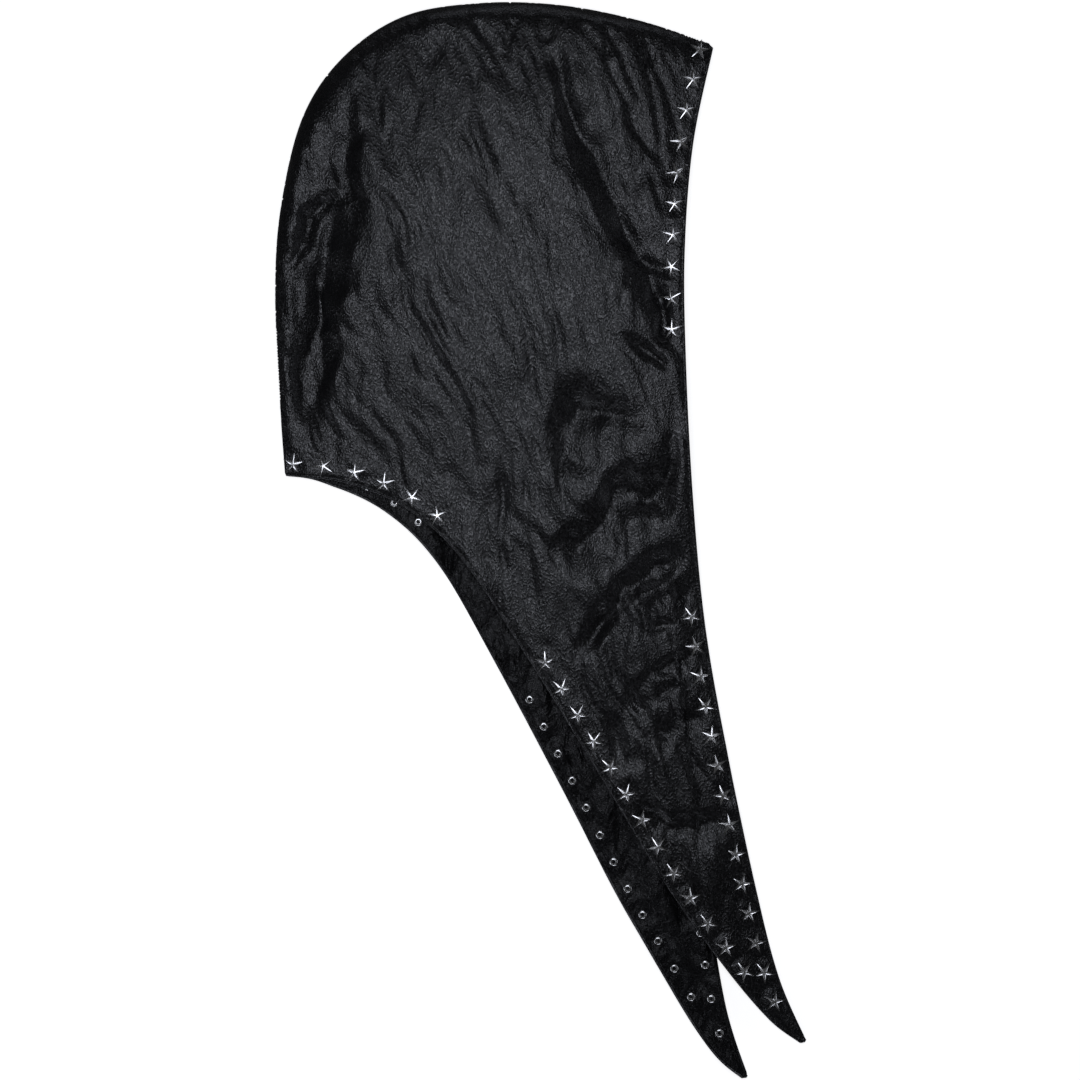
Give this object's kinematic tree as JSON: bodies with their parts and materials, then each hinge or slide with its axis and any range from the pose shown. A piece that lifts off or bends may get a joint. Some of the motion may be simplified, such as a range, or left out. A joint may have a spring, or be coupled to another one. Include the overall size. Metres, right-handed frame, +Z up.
{
  "type": "studded leather hood with pointed ties",
  "caption": "Soft leather hood of two panels joined over the crown, open at face and neck, with two long pointed ties and rows of star studs, lying flat on its left side.",
  "frame": {"origin": "on the table, under the middle of the hood's outline as seen from above", "axes": "+Z up from the table; +Y from the points of the ties to the crown; +X from the back of the head to the face edge"},
  "size_m": [0.2651, 0.5389, 0.0202],
  "materials": {
    "leather": "black washed leather, crinkled, with a satin sheen",
    "studs": "bright nickel plate on cast star studs"
  },
  "bodies": {
    "root": {"right_panel": "leather", "face_studs_right": "studs", "nape_studs_right": "studs", "tie_front_studs_right": "studs", "tie_back_studs_right": "studs", "left_panel": "leather", "face_studs_left": "studs", "nape_studs_left": "studs", "tie_front_studs_left": "studs", "tie_back_studs_left": "studs"}
  },
  "joints": []
}
